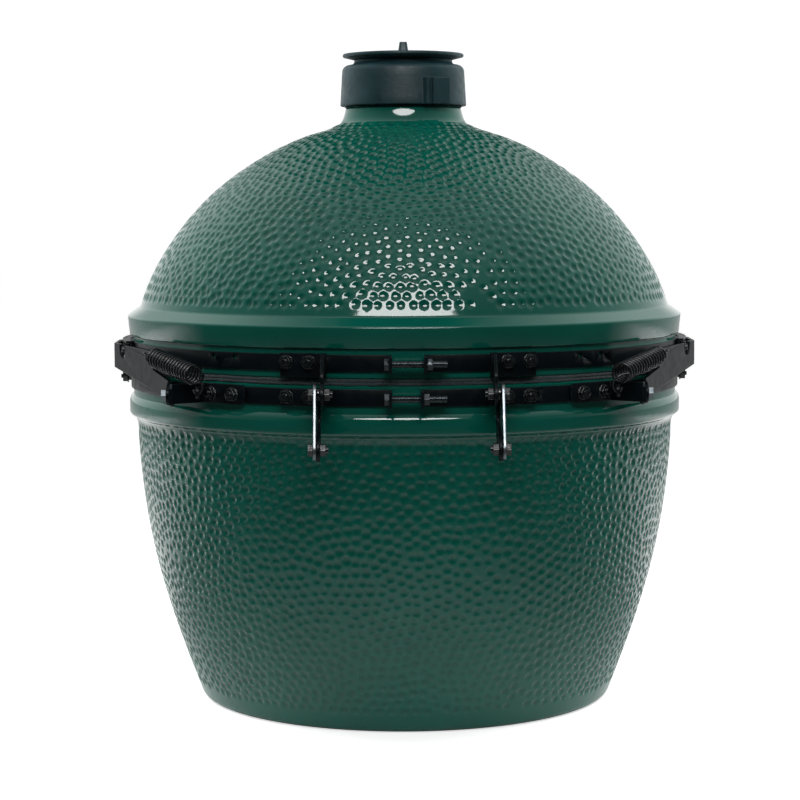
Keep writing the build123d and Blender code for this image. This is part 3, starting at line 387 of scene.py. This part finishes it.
def thin(pts, gap):
    """Fewer points, at least gap apart, always with both ends."""
    out = [pts[0]]
    for p in pts[1:-1]:
        if np.hypot(*(p - out[-1])) > gap and np.hypot(*(p - pts[-1])) > gap * 0.6:
            out.append(p)
    out.append(pts[-1])
    return np.array(out)


PIT_PITCH = 12.9 * MM
PIT_R = 5.9 * MM
PIT_DEPTH = 1.5 * MM
PIT_CURVE = 1.05        # higher gives a softer rim
PIT_SETTLE = 25         # rounds of pushing the dimples apart
PIT_REACH = 1.05 * PIT_PITCH
PIT_INSET = 0.52 * PIT_PITCH
PIT_SIZES = (0.80, 1.06)
ROW_STEP = 0.87 * PIT_PITCH


def pit_centres(rows):
    """Dimples packed at random, an even distance apart, over a stretch of profile."""
    s = np.concatenate([[0], np.cumsum(np.hypot(*np.diff(rows, axis=0).T))])
    where, turn = [], []
    at = PIT_INSET
    while at < s[-1] - PIT_INSET:
        r = np.interp(at, s, rows[:, 0])
        count = max(6, int(round(2 * math.pi * r / PIT_PITCH)))
        turn.append(rng.uniform(0, 2 * math.pi, count))
        where.append(at + rng.uniform(-0.5, 0.5, count) * PIT_PITCH)
        at += ROW_STEP
    where, turn = np.concatenate(where), np.concatenate(turn)
    for step in range(PIT_SETTLE + 1):
        where = np.clip(where, PIT_INSET, s[-1] - PIT_INSET)
        r, z = np.interp(where, s, rows[:, 0]), np.interp(where, s, rows[:, 1])
        points = np.stack([r * np.cos(turn), r * np.sin(turn), z], 1)
        if step == PIT_SETTLE:
            break
        tree = tree_from(points)
        push = np.zeros((len(points), 3))
        for i, p in enumerate(points):
            for q, j, d in tree.find_range(p, PIT_REACH):
                if j != i:
                    push[i] += (p - np.array(q)) / max(d, 1e-5) * (PIT_REACH - d) * 0.5
        slope = np.gradient(rows, s, axis=0)
        sr, sz = np.interp(where, s, slope[:, 0]), np.interp(where, s, slope[:, 1])
        outward = push[:, 0] * np.cos(turn) + push[:, 1] * np.sin(turn)
        along = -push[:, 0] * np.sin(turn) + push[:, 1] * np.cos(turn)
        where = where + outward * sr + push[:, 2] * sz
        turn = turn + along / r
    return points, PIT_R * rng.uniform(*PIT_SIZES, len(points))


def dimple(points, centres, sizes):
    """Depth share of the dimple that each point lies in."""
    tree = tree_from(centres)
    depth = np.zeros(len(points))
    for n, p in enumerate(points):
        _, i, d = tree.find(p)
        t = d / sizes[i]
        if t < 1:
            depth[n] = (1 - t * t) ** PIT_CURVE * (sizes[i] / PIT_R)
    return depth


STEP = (1.5 if FINE else 2.4) * MM
COLS = 1440 if FINE else 900


def turned(name, node, centre_z, zone, body, opening=None):
    """The outer skin of a ceramic shell, dimpled between two heights."""
    skin = profile_of(node, centre_z, True)
    z = skin[:, 1]
    r = skin[:, 0]
    inside = (z > zone[0]) & (z < zone[1]) & (r > zone[2])
    first, last = np.where(inside)[0][[0, -1]]
    smooth = resample(thin(skin[first:last + 1], 9 * MM), STEP)
    rows = np.concatenate([skin[:first], smooth, skin[last + 1:]])
    a = np.arange(COLS) * 2 * math.pi / COLS
    ring = np.stack([np.cos(a), np.sin(a)], 1)
    pts = np.concatenate([np.stack([rw[0] * ring[:, 0], rw[0] * ring[:, 1],
                                    np.full(COLS, rw[1])], 1) for rw in rows])
    depth = np.zeros(len(pts))
    centres, sizes = pit_centres(smooth)
    lo, hi = first * COLS, (first + len(smooth)) * COLS
    depth[lo:hi] = dimple(pts[lo:hi], centres, sizes)
    tangent = np.gradient(smooth, axis=0)
    tangent /= np.hypot(*tangent.T)[:, None]
    normal = np.stack([tangent[:, 1], -tangent[:, 0]], 1)
    nr, nz = np.repeat(normal[:, 0], COLS), np.repeat(normal[:, 1], COLS)
    move = -PIT_DEPTH * depth[lo:hi]
    pts[lo:hi, 0] += np.tile(ring[:, 0], len(smooth)) * nr * move
    pts[lo:hi, 1] += np.tile(ring[:, 1], len(smooth)) * nr * move
    pts[lo:hi, 2] += nz * move
    faces = cut_opening(pts, grid_faces(len(rows), COLS), opening)
    return mesh_object(name, pts, faces, "green_glaze", body, attr=depth)


LINING_COLS = 360


def lining(name, node, centre_z, body, opening=None):
    """The inner skin of a ceramic shell, unglazed."""
    skin = profile_of(node, centre_z, False)
    cols = LINING_COLS
    a = np.arange(cols) * 2 * math.pi / cols
    pts = np.concatenate([np.stack([p[0] * np.cos(a), p[0] * np.sin(a),
                                    np.full(cols, p[1])], 1) for p in skin])
    faces = cut_opening(pts, grid_faces(len(skin), cols)[:, ::-1], opening)
    return mesh_object(name, pts, faces, "fire_clay", body)


def tube(path, radius, sides=10):
    """Points and quads of a round wire along a path, with closed ends."""
    path = np.asarray(path, float)
    t = np.gradient(path, axis=0)
    t /= np.linalg.norm(t, axis=1)[:, None]
    u = np.cross(t[0], (0.3, 0.5, 0.81))    # no wire here starts along this
    u /= np.linalg.norm(u)
    pts = []
    ang = np.arange(sides) * 2 * math.pi / sides
    for p, d in zip(path, t):
        u = u - d * (u @ d)
        u /= np.linalg.norm(u)
        w = np.cross(d, u)
        pts.append(p + radius * (np.cos(ang)[:, None] * u + np.sin(ang)[:, None] * w))
    ends = [np.repeat(path[:1], sides, 0), *pts, np.repeat(path[-1:], sides, 0)]
    return np.concatenate(ends), grid_faces(len(path) + 2, sides)


def curve_through(points, per=8):
    """Smooth path through a few points."""
    p = np.asarray(points, float)
    p = np.concatenate([[2 * p[0] - p[1]], p, [2 * p[-1] - p[-2]]])
    out = []
    for i in range(1, len(p) - 2):
        for u in np.arange(per) / per:
            out.append(0.5 * (2 * p[i] + (p[i + 1] - p[i - 1]) * u
                              + (2 * p[i - 1] - 5 * p[i] + 4 * p[i + 1] - p[i + 2]) * u * u
                              + (3 * p[i] - p[i - 1] - 3 * p[i + 1] + p[i + 2]) * u**3))
    return np.array(out + [p[-2]])


# ------------------------------------------------------------------ ceramics
# The draft opening: its half angle, then its lower and upper heights.
DRAFT = (14.95, DATUM + 57.4 * MM, DATUM + 115.2 * MM)
# Dimpled zones: lower height, upper height, and least radius.
BASE_ZONE = (DATUM + 3 * MM, DATUM + 343.5 * MM, 0.25)
LID_ZONE = (DATUM + 483.5 * MM, DATUM + 703.5 * MM, 0.078)
# Heights inside each hollow, from which its outer and inner skins are told apart.
BASE_MID = 0.200
LID_MID = 0.500
base_skin = turned("base_glaze", "base_shell", BASE_MID, BASE_ZONE, "grill_base", DRAFT)
lining("base_inside", "base_shell", BASE_MID, "grill_base", DRAFT)
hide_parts("base_shell")
lid_skin = turned("lid_glaze", "lid_shell", LID_MID, LID_ZONE, "lid")
lining("lid_inside", "lid_shell", LID_MID, "lid")
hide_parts("lid_shell")

# Cheeks of the draft opening through the wall.
CHEEK_COLS = 31
CHEEK_HALF = 15         # degrees, just past the opening's own half angle
CHEEK_DEPTH = 24 * MM
CHEEK_RISE = 11 * MM    # the opening climbs this much on its way in
CHEEK_RADII = (0.2775, 0.2965)  # outside of the wall at the opening's lower and upper edge
az = np.radians(90 + np.linspace(-CHEEK_HALF, CHEEK_HALF, CHEEK_COLS))
cheeks = []
for z_at, r_out in zip(DRAFT[1:], CHEEK_RADII):
    for r in (r_out + 0.5 * MM, r_out - CHEEK_DEPTH):
        z_in = z_at + (CHEEK_RISE if r < r_out else 0.0)
        cheeks.append(np.stack([r * np.cos(az), r * np.sin(az),
                                np.full(CHEEK_COLS, z_in)], 1))
walls, quads, start = [], [], 0
for block in (np.concatenate(cheeks[:2]), np.concatenate(cheeks[2:])):
    walls.append(block)
    quads.append(grid_faces(2, CHEEK_COLS, False) + start)
    start += 2 * CHEEK_COLS
for k in (0, CHEEK_COLS - 1):
    side = np.stack([edge[k] for edge in cheeks])
    walls.append(side)
    quads.append(np.array([[0, 1, 3, 2]]) + start)
    start += 4
mesh_object("draft_cheeks", np.concatenate(walls), np.concatenate(quads), "fire_clay",
            "grill_base")


# --------------------------------------------------------------------- felts
FELT_WIDTH = 26 * MM
CAP_FELT_BORE = 46 * MM
FELT_STEPS = 9
FELT_FACE = 8 * MM      # width of the outer strip of each flat face
FELT_BULGE = 0.7 * MM
FELT_WAVE = 0.5 * MM
FELT_FRAY = 0.32 * MM
FELT_FUZZ = 0.08 * MM


def felt_ring(name, node, body):
    """A flat ring whose outer edge bulges and is rough, as cut felt is."""
    lo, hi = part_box(node)
    r_out, z0, z1 = hi[0], lo[2], hi[2]
    r_in = CAP_FELT_BORE if node == "vent_gasket" else r_out - FELT_WIDTH
    cols = 1500 if FINE else 500
    section = []
    for u in np.linspace(0, 1, FELT_STEPS):
        section.append((r_out + FELT_BULGE * math.sin(math.pi * u), z0 + (z1 - z0) * u))
    section += [(r_out - FELT_FACE, z1), (r_in, z1), (r_in, z0), (r_out - FELT_FACE, z0)]
    section = np.array(section)
    n = len(section)
    a = np.arange(cols) * 2 * math.pi / cols
    rr = np.repeat(section[:, 0], cols)
    zz = np.repeat(section[:, 1], cols)
    shake = np.repeat(np.array([1.0] * FELT_STEPS + [0, 0, 0, 0]), cols)
    rr = rr + rng.normal(0, FELT_FRAY, len(rr)) * shake
    rr = rr + FELT_WAVE * np.sin(np.tile(a, n) * 37 + np.sin(np.tile(a, n) * 11) * 3) * shake
    zz = zz + rng.normal(0, FELT_FUZZ, len(zz)) * shake
    pts = np.stack([rr * np.cos(np.tile(a, n)), rr * np.sin(np.tile(a, n)), zz], 1)
    faces = np.concatenate([grid_faces(n, cols),
                            np.stack([(n - 1) * cols + np.arange(cols),
                                      (n - 1) * cols + (np.arange(cols) + 1) % cols,
                                      (np.arange(cols) + 1) % cols, np.arange(cols)], 1)])
    obj = mesh_object(name, pts, faces, "felt", body, smooth=None)
    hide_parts(node)


felt_ring("base_felt", "base_gasket", "grill_base")
felt_ring("lid_felt", "lid_gasket", "lid")
felt_ring("cap_felt", "vent_gasket", "chimney_cap")


# ------------------------------------------------------------------- springs
SPRING_TURNS = 15
SPRING_R = 10.4 * MM    # to the middle of the wire
SPRING_WIRE = 1.5 * MM  # radius of the wire


def spring(tag, side):
    """A tension spring from the tab on the base's bracket to the hole in the arm."""
    start = np.array((side * 0.240, -0.288, DATUM + 0.413))
    end = np.array((side * 0.294, -0.192, DATUM + 0.4264))
    axis = (end - start) / np.linalg.norm(end - start)
    u = np.cross(axis, (0, 0, 1.0))
    u /= np.linalg.norm(u)
    w = np.cross(axis, u)
    length = np.linalg.norm(end - start)
    t = np.linspace(0, 1, SPRING_TURNS * (26 if FINE else 14))
    ang = t * SPRING_TURNS * 2 * math.pi
    coil = (start + axis * (t * length)[:, None]
            + SPRING_R * (np.cos(ang)[:, None] * u + np.sin(ang)[:, None] * w))
    tab = np.array((side * 0.2375, -0.289, DATUM + 0.394))
    lower_hook = curve_through([
        tab + (side * 4.5 * MM, -2 * MM, 3 * MM), tab + (0, 0.5 * MM, -2.2 * MM),
        tab + (side * -4.5 * MM, 0, 2 * MM), tab + (side * -5 * MM, -3 * MM, 11 * MM),
        start - axis * 8 * MM + w * 3 * MM, start - axis * 3.5 * MM + u * 5 * MM, coil[0]])
    hole = np.array((side * 0.3003, -0.173, DATUM + 0.424))
    across = np.array((side * 0.918, -0.396, 0.0))
    upper_hook = curve_through([
        coil[-1], end + axis * 4 * MM - w * 3 * MM, end + axis * 9 * MM + across * 2 * MM,
        end + axis * 16 * MM + across * 6 * MM + (0, 0, 3 * MM),
        hole + across * 7 * MM + (0, 7 * MM, 5 * MM),
        hole + across * 6 * MM + (0, 3 * MM, -1 * MM), hole + (0, 0, -1.2 * MM),
        hole - across * 5 * MM + (0, -2 * MM, 0)])
    path = np.concatenate([lower_hook[:-1], coil, upper_hook[1:]])
    pts, faces = tube(path, SPRING_WIRE, 10 if FINE else 6)
    obj = mesh_object(f"coil_{tag}", pts, faces, "spring_steel", smooth=None)
    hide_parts(f"lift_spring_{tag}")
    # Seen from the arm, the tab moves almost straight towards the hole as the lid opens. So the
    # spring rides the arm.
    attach(obj, "lift_arms")
    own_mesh(obj)


spring("left", -1)
spring("right", 1)

# --------------------------------------------------------- thermometer marks
lo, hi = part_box("thermometer_dial")
dial_axis = Vector((0, 0.79, 0.613)).normalized()   # the gauge faces up and to the front
MARKS_UP = 0.75 * MM    # above the middle of the dial plate
dial_centre = (lo + hi) / 2 + dial_axis * MARKS_UP
right = Vector((-1, 0, 0))
up = dial_axis.cross(right)
marks, quads = [], []
MARK_COUNT = 49
MARK_STEP = 5           # degrees
for k in range(MARK_COUNT):
    a = math.radians(120 - k * MARK_STEP)
    d = -right * math.sin(a) + up * math.cos(a)
    s = dial_axis.cross(d)
    long = k % 6 == 0
    r0, r1, half = (24 if long else 27) * MM, 31 * MM, (0.6 if long else 0.25) * MM
    quads.append([4 * k + i for i in range(4)])
    marks += [dial_centre + d * r0 - s * half, dial_centre + d * r0 + s * half,
              dial_centre + d * r1 + s * half, dial_centre + d * r1 - s * half]
mesh_object("dial_marks", [tuple(m) for m in marks], quads, "black_steel", "lid", smooth=None)

# ------------------------------------------------------- the rest of the CAD
# Edge rounding by material; the rest is steel.
ROUND = {"cast_iron": 1.0 * MM, "bamboo": 2.0 * MM, "fire_clay": 2.5 * MM}
STEEL_ROUND = 0.45 * MM
SAME_CORNER = 0.02 * MM
for name, obj in nodes.items():
    wear_slot(obj, SLOT[name])
    if obj.hide_render:
        continue
    mod = obj.modifiers.new("one_skin", "WELD")
    mod.merge_threshold = SAME_CORNER
    mod = obj.modifiers.new("soft_edge", "BEVEL")
    mod.width = ROUND.get(SLOT[name], STEEL_ROUND)
    mod.segments = 2
    mod.limit_method = "ANGLE"
    mod.angle_limit = math.radians(40)


# ------------------------------------------------------------ floor and light
def seen_by_camera(tree, shown, other):
    """One value straight to the lens, another for the light that bounces."""
    path = tree.nodes.new("ShaderNodeLightPath")
    return mix(tree, path.outputs["Is Camera Ray"], other, shown)


bpy.ops.mesh.primitive_plane_add(size=40, location=(0, 0, -0.2 * MM))
floor = bpy.context.object
floor.name = "floor"
fmat, ftree, fbsdf = tree_of("floor")
place = ftree.nodes.new("ShaderNodeNewGeometry")
where = ftree.nodes.new("ShaderNodeSeparateXYZ")
link(ftree, place.outputs["Position"], where.inputs["Vector"])
reach = ftree.nodes.new("ShaderNodeVectorMath")
reach.operation = "LENGTH"
link(ftree, place.outputs["Position"], reach.inputs[0])
near = ramp(ftree, spread(ftree, reach.outputs["Value"], 0.0, 1.0, 0.28, 1.30),
            ((0.02, grey(0.84)), (0.22, grey(0.52)), (0.51, grey(0.24)), (0.71, grey(0.13)),
             (1.0, grey(0.04))))
behind = ramp(ftree, spread(ftree, where.outputs["Y"], 0.0, 1.0, -0.22, 0.46),
              ((0.0, grey(0.0)), (1.0, grey(0.86))))
# For light that bounces, the floor is bright by the grill and beyond it, and dark on the
# camera's side.
sweep = mix(ftree, 1.0, near, behind, "LIGHTEN")
link(ftree, seen_by_camera(ftree, grey(0.72), sweep), fbsdf.inputs["Base Color"])
link(ftree, seen_by_camera(ftree, grey(0.62), grey(0.0)), fbsdf.inputs["Emission Color"])
fbsdf.inputs["Emission Strength"].default_value = 1.0
fbsdf.inputs["Roughness"].default_value = 0.8
fbsdf.inputs["Specular IOR Level"].default_value = 0.1
floor.data.materials.append(fmat)

# White to the lens. For light that bounces, the studio is dark on the camera's side, bright
# on the far side, and a little brighter high up.
world = bpy.data.worlds.new("studio")
bpy.context.scene.world = world
world.use_nodes = True
wt = world.node_tree
bg = wt.nodes["Background"]
geo = wt.nodes.new("ShaderNodeTexCoord")
sep = wt.nodes.new("ShaderNodeSeparateXYZ")
link(wt, geo.outputs["Generated"], sep.inputs["Vector"])
around = ramp(wt, spread(wt, sep.outputs["Y"], 0.0, 1.0, -1.0, 1.0),
              ((0.10, grey(0.025)), (0.285, grey(0.14)), (0.545, grey(0.45)), (0.80, grey(0.92)),
               (1.0, grey(1.02))))
above = ramp(wt, spread(wt, sep.outputs["Z"], 0.0, 1.0, 0.0, 1.0),
             ((0.40, grey(0.0)), (0.60, grey(0.17)), (0.90, grey(0.28)), (1.0, grey(0.48))))
bright = mix(wt, 1.0, around, above, "ADD")
# A dark patch, high up beyond the grill.
off_axis = wt.nodes.new("ShaderNodeMath")
off_axis.operation = "ABSOLUTE"
link(wt, sep.outputs["X"], off_axis.inputs[0])
gap_x = spread(wt, off_axis.outputs[0], 1.0, 0.0, 0.14, 0.44)
gap_y = spread(wt, sep.outputs["Y"], 0.0, 1.0, 0.06, 0.24)
gap_z = ramp(wt, spread(wt, sep.outputs["Z"], 0.0, 1.0, 0.0, 1.0),
             ((0.15, grey(0.0)), (0.32, grey(1.0)), (1.0, grey(1.0))))
gap = mix(wt, 1.0, mix(wt, 1.0, gap_x, gap_y, "MULTIPLY"), gap_z, "MULTIPLY")
studio = mix(wt, gap, bright, grey(0.0))
link(wt, seen_by_camera(wt, grey(1.0), studio), bg.inputs["Color"])
bg.inputs["Strength"].default_value = 1.05


def area(name, at, aim, size, watts):
    """An oval soft light at one point, aimed at another."""
    light = bpy.data.lights.new(name, "AREA")
    light.shape = "ELLIPSE"
    light.size, light.size_y = size
    light.energy = watts
    obj = bpy.data.objects.new(name, light)
    obj.location = at
    obj.rotation_euler = (Vector(aim) - Vector(at)).to_track_quat("-Z", "Y").to_euler()
    bpy.context.scene.collection.objects.link(obj)
    return obj


# The glaze mirrors key_box; key_fill, in the same place, gives its diffuse light.
KEY = ((0.0, -2.84, 2.47), (0, -0.3, 0.5), (2.35, 1.05))
key_box = area("key_box", *KEY, 84)
key_box.visible_diffuse = False
key_fill = area("key_fill", *KEY, 44)
key_fill.visible_glossy = False
for tag, side in (("left", -1), ("right", 1)):
    # Diffuse fill from both sides, a little beyond the grill, which the glaze doesn't mirror.
    fill = area(f"fill_{tag}", (side * 1.64, 0.77, 1.25), (0, 0, 0.4), (1.3, 1.3), 32)
    fill.visible_glossy = False

# -------------------------------------------------------------------- camera
cam = bpy.data.cameras.new("camera")
cam.sensor_width = 36
cam.lens = 104.4
camera = bpy.data.objects.new("camera", cam)
bpy.context.scene.collection.objects.link(camera)
# The camera faces the hinge, a little left of the middle, and looks slightly down.
CAMERA_AWAY = 2.9
CAMERA_HEIGHT = 0.614
AIM_OFF = math.radians(0.1111)  # by which it looks past the middle
turn = math.radians(-0.78)
heading = -turn - AIM_OFF
pitch = math.radians(5.03)
roll = math.radians(0.24)
eye = Vector((CAMERA_AWAY * math.sin(turn), -CAMERA_AWAY * math.cos(turn),
              DATUM + CAMERA_HEIGHT))
forward = Vector((math.sin(heading) * math.cos(pitch), math.cos(heading) * math.cos(pitch),
                  -math.sin(pitch)))
level = forward.cross(Vector((0, 0, 1))).normalized()
top = (level.cross(forward) * math.cos(roll) + level * math.sin(roll)).normalized()
side = forward.cross(top).normalized()
camera.matrix_world = Matrix((
    (side.x, top.x, -forward.x, eye.x), (side.y, top.y, -forward.y, eye.y),
    (side.z, top.z, -forward.z, eye.z), (0, 0, 0, 1)))
bpy.context.scene.camera = camera
bpy.context.scene.view_settings.view_transform = "Standard"
